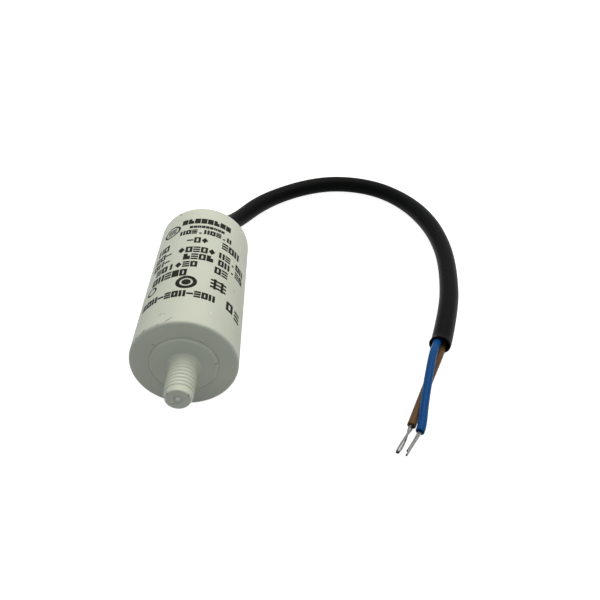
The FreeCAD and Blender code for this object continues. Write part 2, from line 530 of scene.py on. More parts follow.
@dataclass(frozen=True)
class DullMetal(Finish):
    """Tinned, soldered or sprayed metal, with uneven roughness and fine bumps.

    A piece whose map counts metres back from its tip can have painted shade over its last shade_tip_mm.
    This darkens the tip where the strands' cut ends lie in shade, and 0 leaves it out.
    """

    patch_mm: float
    bump_mm: float
    shade_tip_mm: float = 0.0
    tip_shade_colour: str = "#2E2C26"
    swing: float = 0.08

    def _surface(self, tree: Tree) -> NodeInputs:
        """Patches of tone, roughness and height, and the painted shade at the tip if it has one."""
        place = add_node(tree, "TexCoord").outputs["Object"]
        patches = add_node(
            tree, "TexNoise", {"Vector": place, "Scale": 1 / (self.patch_mm * MM), "Detail": 3.0}
        ).outputs["Fac"]
        colour = self._tones(tree, patches)
        bump = add_node(
            tree, "Bump", {"Height": patches, "Strength": 0.4, "Distance": self.bump_mm * MM}
        )
        return {
            "Base Color": self._paint_tip_shade(tree, colour) if self.shade_tip_mm else colour,
            "Metallic": 1.0,
            "Roughness": self._uneven(tree, patches, self.swing),
            "Normal": bump.outputs["Normal"],
        }

    def _paint_tip_shade(self, tree: Tree, colour: Socket) -> Socket:
        """Darken the metal towards its tip with painted shade, where the strands' cut ends lie in shade.

        Args:
            tree: the material's node tree.
            colour: the metal's colour elsewhere.

        Returns:
            The socket that carries the colour with its painted shade.
        """
        own_map = add_node(tree, "TexCoord").outputs["UV"]
        along = add_node(tree, "SeparateXYZ", {"Vector": own_map}).outputs["Y"]
        tip_shade = add_node(
            tree,
            "MapRange",
            {"Value": along, "From Min": -self.shade_tip_mm * MM, "From Max": -0.3 * self.shade_tip_mm * MM},
        )
        return add_node(
            tree,
            "Mix",
            {"Factor": tip_shade.outputs["Result"], "A": colour, "B": linear_colour(self.tip_shade_colour)},
            data_type="RGBA",
        ).outputs["Result"]


@dataclass(frozen=True)
class CastOrWound(Finish):
    """Cast resin and wound film inside the can: glossy, with fine rings or clouds.

    ring_mm is the spacing of the rings about the case axis, which stand for film turns
    drawn coarse enough to see, and 0 leaves them out.
    """

    ring_mm: float = 0.0
    cloud_mm: float = 5.0

    def _surface(self, tree: Tree) -> NodeInputs:
        """Rings about the case axis, or clouds where there are no turns."""
        place = add_node(tree, "TexCoord").outputs["Object"]
        if self.ring_mm:
            centred = add_node(
                tree, "Mapping", {"Vector": place, "Location": (0.0, 0.0, -AXIS_Z)}
            ).outputs["Vector"]
            scale = 1 / (self.ring_mm * MM) / math.tau * math.pi
            pattern = add_node(
                tree,
                "TexWave",
                {"Vector": centred, "Scale": scale, "Distortion": 0.6},
                wave_type="RINGS",
                rings_direction="Y",
            )
        else:
            scale = 1 / (self.cloud_mm * MM)
            pattern = add_node(tree, "TexNoise", {"Vector": place, "Scale": scale, "Detail": 3.0})
        return {
            "Base Color": self._tones(tree, pattern.outputs["Fac"]),
            "Roughness": self.roughness,
            "IOR": 1.55,
        }


# The can


@dataclass(frozen=True)
class CaseSizes:
    """Sizes of the moulded case in millimetres, the same as its solid's."""

    diameter: float = 30.0
    length: float = 62.0
    wall: float = 1.2
    base_wall: float = 2.5
    rim_edge: float = 0.8
    seat_shoulder: float = 0.35
    seat_depth: float = 2.8
    boss_diameter: float = 18.8
    boss_height: float = 0.8
    stud_diameter: float = 8.0
    stud_length: float = 12.7
    stud_root_length: float = 1.1
    stud_lead: float = 1.6
    stud_lead_diameter: float = 6.7
    nub_diameter: float = 1.9
    nub_height: float = 0.3


@dataclass(frozen=True)
class LidSizes:
    """Sizes of the lid in millimetres: its plate, its collar, its skirt and its trim.

    The trim is a shallow ring sunk into the plate, given by its four radii from the
    outside in, and room is what the lid and its skirt leave to the case's wall.
    """

    plate: float = 2.0
    collar_height: float = 0.8
    collar_radius: float = 5.0
    hole_radius: float = 3.4
    hole_start: float = 2.0
    skirt_wall: float = 0.8
    lid_room: float = 0.05
    skirt_room: float = 0.1
    trim_radii: tuple[float, float, float, float] = (10.6, 10.3, 9.9, 9.6)
    trim_depth: float = 0.25


@dataclass
class Can:
    """The moulded case with its boss and threaded stud, and the lid in its far end.

    Lengths are in millimetres. The moulding gate left a nub in a round hollow on the
    stud's tip. The base face stands base_crown proud of the solid's, and a shallow
    groove parts it from the boss. The thread is a groove thread_groove_half of a pitch
    wide to either side, which fades in and out over thread_fades, and the shank's rings
    keep thread_ring_margins from its two ends.
    """

    sizes: CaseSizes = field(default_factory=CaseSizes)
    lid: LidSizes = field(default_factory=LidSizes)
    segments: int = 128
    nub_flat: float = 0.3
    gate_depth: float = 0.35
    gate_floor: float = 0.25
    gate_reach: float = 0.7
    base_round: float = 0.85
    base_crown: float = 0.22
    boss_groove: float = 0.15
    boss_groove_width: float = 0.3
    boss_slope: float = 0.52
    root_flare: float = 0.75
    thread_pitch: float = 1.3
    thread_depth: float = 0.37
    thread_groove_half: float = 0.33
    thread_groove_power: float = 1.3
    thread_start: float = 0.19
    thread_lead_in: float = 1.25
    thread_run_out: float = 0.45
    thread_fades: tuple[float, float] = (0.3, 0.7)
    thread_ring_count: int = 16
    thread_ring_margins: tuple[float, float] = (0.15, 0.4)

    def places(self) -> dict[str, float]:
        """Where the can's faces lie along its axis, in millimetres."""
        s = self.sizes
        nub_tip = CASE_LOW.y / MM
        stud_tip = nub_tip + s.nub_height
        boss = stud_tip + s.stud_length
        base = boss + s.boss_height
        rim = base + s.length
        seat = rim - s.seat_depth
        return {"nub": nub_tip, "tip": stud_tip, "boss": boss, "base": base, "rim": rim, "seat": seat}

    def outline(self) -> list[Vector]:
        """The case's outline, from the nub round the outside and back to the floor."""
        s = self.sizes
        at = self.places()
        side, stud = s.diameter / 2, s.stud_diameter / 2
        nub, boss = s.nub_diameter / 2, s.boss_diameter / 2
        bore = side - s.wall
        seat = bore + s.seat_shoulder
        hollow = at["tip"] + self.gate_depth
        face = at["base"] - self.base_crown
        groove = face + self.boss_groove
        floor = at["base"] + s.base_wall
        corners = [
            Corner(at["nub"], 0.0),
            Corner(at["nub"], self.nub_flat, 0.2),
            Corner(hollow, nub, 0.12),
            Corner(hollow, nub + self.gate_floor, 0.12),
            Corner(at["tip"], nub + self.gate_reach, 0.2),
            Corner(at["tip"], s.stud_lead_diameter / 2, 0.22),
            Corner(at["tip"] + s.stud_lead, stud, 0.5),
            *self._shank_rings(),
            Corner(at["boss"] - self.root_flare, stud, 0.5),
            Corner(at["boss"], stud + self.root_flare, 0.3),
            Corner(at["boss"], boss - self.boss_slope, 0.1),
            Corner(at["boss"] + self.boss_slope, boss, 0.05),
            Corner(groove, boss, 0.05),
            Corner(groove, boss + self.boss_groove_width / 2, 0.08),
            Corner(face, boss + self.boss_groove_width, 0.1),
            Corner(face, side, self.base_round),
            Corner(at["rim"], side, s.rim_edge),
            Corner(at["rim"], seat),
            Corner(at["seat"], seat),
            Corner(at["seat"], bore),
            Corner(floor, bore, 1.0),
            Corner(floor, 0.0),
        ]
        return rounded_outline(corners)

    def _shank_rings(self) -> list[Corner]:
        """Close rings along the stud's shank, so that the thread can be cut in them."""
        s = self.sizes
        at = self.places()
        start = at["tip"] + s.stud_lead + self.thread_ring_margins[0]
        end = at["boss"] - s.stud_root_length - self.thread_ring_margins[1]
        count = round((end - start) / self.thread_pitch * self.thread_ring_count)
        return [
            Corner(start + (end - start) * step / count, s.stud_diameter / 2)
            for step in range(count + 1)
        ]

    def _cut_thread(self, piece: Object) -> None:
        """Press the right-hand thread's rounded groove into the shank.

        Args:
            piece: the turned case, whose shank has close rings of points.
        """
        s = self.sizes
        at = self.places()
        first = (at["tip"] + self.thread_lead_in) * MM
        last = (at["boss"] - s.stud_root_length - self.thread_run_out) * MM
        fade_in, fade_out = (fade * MM for fade in self.thread_fades)
        for vertex in piece.data.vertices:
            if not first < vertex.co.y < last:
                continue
            around = math.atan2(vertex.co.x, vertex.co.z - AXIS_Z) / math.tau
            phase = (vertex.co.y / MM / self.thread_pitch - around + self.thread_start) % 1.0
            from_middle = abs(phase - 0.5) / self.thread_groove_half
            groove = max(0.0, 1.0 - from_middle**2) ** self.thread_groove_power
            ends = min(1.0, (vertex.co.y - first) / fade_in, (last - vertex.co.y) / fade_out)
            depth = self.thread_depth * MM * groove * ends
            out = Vector((vertex.co.x, 0.0, vertex.co.z - AXIS_Z))
            if out.length > s.stud_diameter / 4 * MM:
                vertex.co -= out.normalized() * depth

    def build_case(self, material: Material) -> None:
        """Turn the case, cut its thread and dress it.

        Args:
            material: the moulded plastic.
        """
        piece = spin_outline("moulded_case", self.outline(), self.segments)
        self._cut_thread(piece)
        dress(piece, material)
        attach(piece, BODY)
        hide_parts("case")
        LOG.info("moulded case: %d faces", len(piece.data.polygons))

    def build_lid(self, material: Material) -> None:
        """Turn the lid with its collar round the cable and its skirt, and dress it.

        Args:
            material: the moulded plastic.
        """
        low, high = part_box("end_lid")
        lid = self.lid
        inner, outer = low.y / MM, high.y / MM
        top = outer - lid.collar_height
        seat = top - lid.plate
        bore = self.sizes.diameter / 2 - self.sizes.wall
        edge = bore + self.sizes.seat_shoulder - lid.lid_room
        skirt = bore - lid.skirt_room
        skirt_bore = skirt - lid.skirt_wall
        trim = top - lid.trim_depth
        ring = [
            Corner(seat, edge),
            Corner(top, edge, 0.3),
            *(
                Corner(place, radius, 0.1)
                for place, radius in zip((top, trim, trim, top), lid.trim_radii)
            ),
            Corner(top, lid.collar_radius, 0.35),
            Corner(outer, lid.collar_radius, 0.3),
            Corner(outer, lid.hole_radius, 0.15),
            Corner(inner + lid.hole_start, lid.hole_radius),
            Corner(seat, lid.hole_radius),
            Corner(seat, skirt_bore),
            Corner(inner, skirt_bore),
            Corner(inner, skirt),
            Corner(seat, skirt),
            Corner(seat, edge),
        ]
        piece = spin_outline("cable_lid", rounded_outline(ring), self.segments)
        dress(piece, material)
        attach(piece, BODY)
        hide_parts("end_lid")
        LOG.info("cable lid: %d faces", len(piece.data.polygons))


# Marks on the can


PLACES = Can().places()
SIDE_MARK_DEPTH = 0.5
END_MARK_DEPTH = 0.8


def mark_on_side(
    around: float, along: float, width: float, length: float, turn: float, strength: float
) -> Mark:
    """A mark on the can's round side.

    Args:
        around: degrees from the top of the can, more to the right.
        along: distance from the base face along the can, in millimetres.
        width: half its width round the can, in millimetres.
        length: half its length along the can, in millimetres.
        turn: its slant in degrees.
        strength: how much its middle covers.

    Returns:
        The mark on the can's surface.
    """
    reach = CaseSizes().diameter / 2
    angle = math.radians(around)
    centre = (reach * math.sin(angle), PLACES["base"] + along, AXIS_Z / MM + reach * math.cos(angle))
    return Mark(centre, (width, length, SIDE_MARK_DEPTH), (0.0, around, turn), strength)


def mark_on_end(
    aside: float, up: float, face: str, width: float, height: float, turn: float, strength: float
) -> Mark:
    """A mark on a face that looks along the case axis.

    Args:
        aside: its place across from the case axis, in millimetres.
        up: its place up from the bench, in millimetres.
        face: the face's name in PLACES.
        width: half its width, in millimetres.
        height: half its height, in millimetres.
        turn: its slant in degrees.
        strength: how much its middle covers.

    Returns:
        The mark on that face.
    """
    size = (width, END_MARK_DEPTH, height)
    return Mark((aside, PLACES[face], up), size, (0.0, turn, 0.0), strength)


# Dark marks. Those on the side (along the base edge, halfway along and at the far rim) are dirt. The one
# on the base face paints the shade in the groove beside the boss. The two on the boss paint shade where
# the highlight on its edge breaks. The first two on the stud's tip paint the shade in small notches at
# its rim, and the last is a dark mark low on the tip.
STAINS_AND_SHADE = (
    mark_on_side(-20.5, 4.25, 0.75, 0.22, 10.0, 0.95),
    mark_on_side(-16.0, 4.05, 0.4, 0.2, -20.0, 0.85),
    mark_on_side(-11.0, 0.95, 1.5, 0.22, 38.0, 0.95),
    mark_on_side(-7.5, 1.85, 0.5, 0.15, 38.0, 0.8),
    mark_on_side(-39.0, 0.35, 1.0, 0.24, 35.0, 0.95),
    mark_on_side(-22.0, 0.1, 0.5, 0.2, 0.0, 0.7),
    mark_on_side(-27.5, 60.3, 0.6, 0.9, 20.0, 1.0),
    mark_on_side(58.5, 23.25, 0.3, 0.3, 0.0, 1.0),
    mark_on_side(-52.0, 0.2, 0.5, 0.25, 0.0, 0.8),
    mark_on_end(-7.3, 22.3, "base", 0.7, 0.3, 30.0, 0.7),
    mark_on_end(5.2, 22.9, "boss", 0.6, 0.25, 30.0, 0.8),
    mark_on_end(8.9, 15.6, "boss", 0.6, 0.25, 0.0, 0.8),
    mark_on_end(2.9, 16.3, "tip", 0.3, 0.7, 20.0, 0.9),
    mark_on_end(-2.6, 17.2, "tip", 0.6, 0.3, 30.0, 0.7),
    mark_on_end(-1.3, 13.6, "tip", 0.7, 0.3, 10.0, 0.5),
)
# Pale marks. The first, on the gate nub, paints a highlight where light would catch the nub. The others
# are pale marks beside it, at the tip's rim and on the side.
SCUFFS_AND_HIGHLIGHT = (
    mark_on_end(0.1, 15.3, "tip", 0.8, 0.7, 0.0, 1.0),
    mark_on_end(-1.6, 14.2, "tip", 0.8, 0.25, 15.0, 0.9),
    mark_on_end(-2.9, 15.3, "tip", 0.3, 0.6, 0.0, 0.8),
    mark_on_side(31.5, 6.25, 0.3, 0.3, 0.0, 0.8),
)


# The print on the can


class Shape(Enum):
    """The plain shapes that the print on the can is made of."""

    BLOCK = "solid block"
    FRAME = "open block"
    STACK = "three level bars"
    PAIR = "two upright bars"
    POST = "one upright bar"
    DIAMOND = "solid diamond"
    DASH = "level bar"
    DOT = "small disc"
    NOTCH = "block with a notch"


@dataclass(frozen=True)
class PrintRow:
    """A row of plain shapes round the can.

    from_deg and to_deg are degrees from the top of the can, more to the right. along
    is the row's middle from the base face, and height its height, in millimetres. The
    shapes are repeated in order, a cell apart, until the row is full.
    """

    from_deg: float
    to_deg: float
    along: float
    height: float
    cell: float
    stroke: float
    shapes: tuple[Shape, ...]


@dataclass
class PrintedMarks:
    """Rows of plain shapes in dark ink, laid out flat and then wrapped on the can."""

    can_radius: float = 15.0
    ink_thickness: float = 0.035
    ink_sink: float = 0.008
    cell_limit: float = 0.6
    cell_share: float = 0.89
    rows: tuple[PrintRow, ...] = (
        PrintRow(-21, 42, 53.0, 3.1, 2.1, 1.0, (Shape.BLOCK, Shape.NOTCH, Shape.STACK, Shape.FRAME)),
        PrintRow(-10, 33, 49.3, 1.5, 1.3, 0.54, (Shape.STACK, Shape.BLOCK, Shape.PAIR, Shape.FRAME)),
        PrintRow(-21, 46, 46.2, 2.6, 1.95, 0.72, (Shape.PAIR, Shape.FRAME, Shape.STACK, Shape.DOT)),
        PrintRow(-10, 13, 41.0, 3.2, 2.3, 0.72, (Shape.DASH, Shape.FRAME, Shape.DIAMOND)),
        PrintRow(33, 59, 41.5, 3.6, 2.5, 0.86, (Shape.STACK, Shape.FRAME, Shape.PAIR)),
        PrintRow(-50, -28, 40.1, 3.5, 2.4, 0.72, (Shape.PAIR, Shape.FRAME)),
        PrintRow(-18, 27, 35.5, 3.2, 2.35, 0.77, (Shape.DIAMOND, Shape.FRAME, Shape.STACK, Shape.FRAME)),
        PrintRow(31, 73, 35.5, 3.2, 2.2, 0.77, (Shape.PAIR, Shape.STACK, Shape.DOT, Shape.FRAME)),
        PrintRow(-52, -24, 35.5, 3.0, 2.3, 0.7, (Shape.STACK, Shape.FRAME, Shape.DASH)),
        PrintRow(-10, 27, 31.5, 3.2, 2.35, 0.77, (Shape.NOTCH, Shape.STACK, Shape.FRAME)),
        PrintRow(31, 73, 31.4, 3.2, 2.2, 0.77, (Shape.FRAME, Shape.PAIR, Shape.DOT, Shape.STACK)),
        PrintRow(-52, -24, 31.5, 3.0, 2.3, 0.7, (Shape.FRAME, Shape.PAIR, Shape.DASH)),
        PrintRow(-44, 5, 27.4, 3.0, 2.3, 0.77, (Shape.STACK, Shape.FRAME, Shape.POST, Shape.DIAMOND)),
        PrintRow(28, 47, 26.9, 3.4, 2.4, 0.79, (Shape.FRAME, Shape.STACK)),
        PrintRow(-46, 1, 23.0, 3.4, 2.35, 0.82, (Shape.FRAME, Shape.PAIR, Shape.STACK, Shape.BLOCK)),
        PrintRow(-54, 34, 12.5, 2.9, 2.1, 0.77, (Shape.STACK, Shape.FRAME, Shape.PAIR, Shape.DASH)),
        PrintRow(48, 60, 13.6, 4.0, 3.1, 0.95, (Shape.FRAME,)),
        PrintRow(62, 75, 12.9, 4.0, 3.1, 0.9, (Shape.STACK,)),
    )

    @property
    def per_degree(self) -> float:
        """Millimetres round the can for each degree."""
        return math.tau * self.can_radius / 360

    def _bar(self, x: float, y: float, wide: float, high: float, diamond: bool = False) -> None:
        """Lay one solid bar or diamond on the flat sheet, cut fine enough to wrap.

        Args:
            x: its middle round the can, in millimetres from the top.
            y: its middle along the can, in millimetres.
            wide: its width round the can.
            high: its height along the can.
            diamond: whether it stands on a corner.
        """
        centre = (x * MM, y * MM, 0.0)
        bpy.ops.mesh.select_all(action="DESELECT")
        bpy.ops.mesh.primitive_plane_add(size=math.sqrt(0.5) * MM if diamond else MM, location=centre)
        if diamond:
            bpy.ops.transform.rotate(value=math.radians(45), orient_axis="Z", center_override=centre)
        bpy.ops.transform.resize(value=(wide, high, 1.0), center_override=centre)
        cuts = 3 if diamond else math.ceil(wide / self.cell_limit) - 1
        if cuts > 0:
            bpy.ops.mesh.subdivide(number_cuts=cuts)

    def _disc(self, x: float, y: float, radius: float, hole: float = 0.0) -> None:
        """Lay a disc or ring on the flat sheet, built from close rings of faces.

        Args:
            x: its middle round the can, in millimetres from the top.
            y: its middle along the can, in millimetres.
            radius: its radius.
            hole: the radius of its hole, or 0 for a full disc.
        """
        centre = (x * MM, y * MM, 0.0)
        bpy.ops.mesh.select_all(action="DESELECT")
        bpy.ops.mesh.primitive_circle_add(vertices=32, radius=radius * MM, location=centre)
        rings = math.ceil((radius - hole) / self.cell_limit)
        reach = radius
        for ring in range(1, rings + 1):
            bpy.ops.mesh.extrude_region_move()
            target = radius + (hole - radius) * ring / rings
            if target <= 0:
                bpy.ops.mesh.merge(type="CENTER")
                break
            bpy.ops.transform.resize(value=(target / reach,) * 3, center_override=centre)
            reach = target

    def _shape(self, shape: Shape, x: float, y: float, row: PrintRow) -> None:
        """Lay one plain shape in its cell.

        Args:
            shape: which shape.
            x: the cell's middle round the can, in millimetres from the top.
            y: the cell's middle along the can, in millimetres.
            row: the row, which gives the shape's height and stroke.
        """
        wide, high, stroke = row.cell * self.cell_share, row.height, row.stroke
        if shape in (Shape.BLOCK, Shape.POST, Shape.DASH, Shape.DIAMOND):
            across = stroke if shape is Shape.POST else wide
            up = stroke if shape is Shape.DASH else high
            self._bar(x, y, across, up, diamond=shape is Shape.DIAMOND)
        elif shape in (Shape.FRAME, Shape.PAIR):
            for side in (-1, 1):
                self._bar(x + side * (wide - stroke) / 2, y, stroke, high)
                if shape is Shape.FRAME:
                    self._bar(x, y + side * (high - stroke) / 2, wide - 2 * stroke, stroke)
        elif shape is Shape.STACK:
            for level in (-1, 0, 1):
                self._bar(x, y + level * (high - stroke) / 2, wide, stroke)
        elif shape is Shape.DOT:
            self._disc(x, y - (high - stroke) / 2, stroke * 0.6)
        elif shape is Shape.NOTCH:
            self._bar(x - wide * 0.2, y, wide * 0.6, high)
            self._bar(x + wide * 0.3, y - high * 0.2, wide * 0.4, high * 0.6)

    def _emblems(self) -> None:
        """Lay the single plain shapes: a ringed disc, a lattice and two side marks."""
        base = PLACES["base"]
        disc_y = base + 18.0
        self._disc(0.0, disc_y, 3.1, 1.9)
        self._disc(0.0, disc_y, 1.35)
        lattice_x, lattice_y = 36 * self.per_degree, base + 19.7
        for level in (-1, 0, 1):
            self._bar(lattice_x, lattice_y + level * 1.65, 5.2, 0.8)
        for side in (-1, 1):
            self._bar(lattice_x + side * 1.2, lattice_y, 0.8, 4.9)
        badge_x, badge_y = -34 * self.per_degree, base + 49.8
        self._disc(badge_x, badge_y, 3.2, 2.5)
        for level in (-1, 0, 1):
            self._bar(badge_x, badge_y + level * 1.1, 3.4, 0.62)
        self._disc(-43 * self.per_degree, base + 18.6, 1.9, 1.3)

    def _wrap(self, piece: Object) -> None:
        """Roll the flat sheet of marks round the can.

        Args:
            piece: the marks, laid out flat with X round the can and Y along it.
        """
        reach = (self.can_radius - self.ink_sink) * MM
        for vertex in piece.data.vertices:
            around = vertex.co.x / (self.can_radius * MM)
            vertex.co.x = reach * math.sin(around)
            vertex.co.z = AXIS_Z + reach * math.cos(around)
        piece.data.update()

    def build(self, material: Material) -> None:
        """Lay out all the marks, wrap them on the can and give the ink its thickness.

        Args:
            material: the ink.
        """
        bpy.ops.object.select_all(action="DESELECT")
        bpy.ops.mesh.primitive_plane_add(size=MM)
        piece = bpy.context.object
        piece.name = "printed_marks"
        with editing(piece):
            bpy.ops.mesh.select_all(action="SELECT")
            bpy.ops.mesh.delete(type="VERT")
            for row in self.rows:
                start = row.from_deg * self.per_degree
                count = max(1, round((row.to_deg - row.from_deg) * self.per_degree / row.cell))
                for place in range(count):
                    shape = row.shapes[place % len(row.shapes)]
                    x = start + (place + 0.5) * row.cell
                    self._shape(shape, x, PLACES["base"] + row.along, row)
            self._emblems()
        for polygon in piece.data.polygons:
            if polygon.normal.z < 0:
                polygon.flip()
        self._wrap(piece)
        apply_modifier(piece, "SOLIDIFY", thickness=self.ink_thickness * MM, offset=1.0)
        settle(piece, 30.0)
        dress(piece, material)
        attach(piece, BODY)
        LOG.info("printed marks: %d faces", len(piece.data.polygons))


# The cable


@dataclass
class Route:
    """A cord's line: control points in millimetres that make one smooth NURBS curve."""

    name: str
    points: Sequence[Place]
    resolution: int = 24

    def line(self) -> list[Vector]:
        """Read the smooth line's points, in metres, from the NURBS curve itself."""
        curve = bpy.data.curves.new(self.name, "CURVE")
        curve.dimensions = "3D"
        curve.resolution_u = self.resolution
        spline = curve.splines.new("NURBS")
        spline.points.add(len(self.points) - 1)
        for control, place in zip(spline.points, self.points):
            control.co = (place[0] * MM, place[1] * MM, place[2] * MM, 1.0)
        spline.order_u = 3
        spline.use_endpoint_u = True
        holder = bpy.data.objects.new(self.name, curve)
        mesh = bpy.data.meshes.new_from_object(holder)
        line = [vertex.co.copy() for vertex in mesh.vertices]
        bpy.data.objects.remove(holder)
        bpy.data.meshes.remove(mesh)
        bpy.data.curves.remove(curve)
        return line


@dataclass
class Line:
    """A polyline in metres that knows how far along it each point is."""

    points: list[Vector]

    def __post_init__(self) -> None:
        """Work out the distance to each point and a frame that doesn't twist."""
        self.reach = [0.0]
        for before, after in zip(self.points, self.points[1:]):
            self.reach.append(self.reach[-1] + (after - before).length)
        self.headings = []
        for index in range(len(self.points)):
            before = self.points[max(0, index - 1)]
            after = self.points[min(len(self.points) - 1, index + 1)]
            self.headings.append((after - before).normalized())
        side = Vector((0.0, 0.0, 1.0)).cross(self.headings[0]).normalized()
        self.sides = []
        for heading in self.headings:
            side = (side - heading * side.dot(heading)).normalized()
            self.sides.append(side)

    @property
    def length(self) -> float:
        """The line's whole length in metres."""
        return self.reach[-1]

    def at(self, distance: float) -> tuple[Vector, Vector, Vector]:
        """The place, heading and side at a distance along the line.

        Args:
            distance: metres from the line's start. Past either end it goes straight on.

        Returns:
            The point, the unit heading and the unit side there.
        """
        last = len(self.points) - 1
        index = 0
        while index < last - 1 and self.reach[index + 1] < distance:
            index += 1
        run = self.reach[index + 1] - self.reach[index]
        share = (distance - self.reach[index]) / run
        blend = min(1.0, max(0.0, share))
        point = self.points[index].lerp(self.points[index + 1], share)
        heading = self.headings[index].lerp(self.headings[index + 1], blend).normalized()
        side = self.sides[index].lerp(self.sides[index + 1], blend)
        side = (side - heading * side.dot(heading)).normalized()
        return point, heading, side

    def between(self, start: float, end: float, step: float) -> list[float]:
        """Evenly spaced distances from start to end, about a step apart."""
        count = max(1, math.ceil(abs(end - start) / step))
        return [start + (end - start) * place / count for place in range(count + 1)]


@dataclass(frozen=True)
class Ring:
    """One ring of a tube: how far along its line it is, and its radius, in metres."""

    distance: float
    radius: float


def sweep_tube(
    name: str,
    line: Line,
    rings: Sequence[Ring],
    sides: int,
    shift: Callable[[float], tuple[float, float]] = lambda distance: (0.0, 0.0),
    map_start: float = 0.0,
) -> Object:
    """Build a closed tube from rings along a line, with a map round and along it.

    The first and last rings are closed by a point in their middle.

    Args:
        name: the new piece's name.
        line: the line that it follows.
        rings: its rings in order, which may turn back inside to make a hollow end.
        sides: how many sides each ring has.
        shift: how far the tube's middle lies from the line at a distance along it,
            sideways and upwards.
        map_start: the distance at which the map along it reads 0.

    Returns:
        The finished mesh, with its faces outwards.
    """
    vertices = []
    for ring in rings:
        point, heading, side = line.at(ring.distance)
        up = heading.cross(side)
        aside, raised = shift(ring.distance)
        middle = point + side * aside + up * raised
        for step in range(sides):
            angle = math.tau * step / sides
            out = side * math.cos(angle) + up * math.sin(angle)
            vertices.append(middle + out * ring.radius)
    faces = []
    uv_values = []
    for row, (here, there) in enumerate(zip(rings, rings[1:])):
        for step in range(sides):
            after = (step + 1) % sides
            low, high = row * sides, (row + 1) * sides
            faces.append((low + step, low + after, high + after, high + step))
            left, right = step / sides, (step + 1) / sides
            near, far = here.distance - map_start, there.distance - map_start
            uv_values += [(left, near), (right, near), (right, far), (left, far)]
    for row, flip in ((0, True), (len(rings) - 1, False)):
        point, heading, side = line.at(rings[row].distance)
        aside, raised = shift(rings[row].distance)
        vertices.append(point + side * aside + heading.cross(side) * raised)
        tip = len(vertices) - 1
        for step in range(sides):
            pair = (row * sides + step, row * sides + (step + 1) % sides)
            pair = pair[::-1] if flip else pair
            faces.append((pair[0], pair[1], tip))
            uv_values += [(step / sides, rings[row].distance - map_start)] * 3
    mesh = bpy.data.meshes.new(name)
    mesh.from_pydata(vertices, [], faces)
    uv_layer = mesh.uv_layers.new(name="round_and_along")
    uv_layer.data.foreach_set("uv", [value for pair in uv_values for value in pair])
    piece = bpy.data.objects.new(name, mesh)
    bpy.context.scene.collection.objects.link(piece)
    with editing(piece):
        bpy.ops.mesh.select_all(action="SELECT")
        bpy.ops.mesh.normals_make_consistent(inside=False)
    return settle(piece, 50.0)


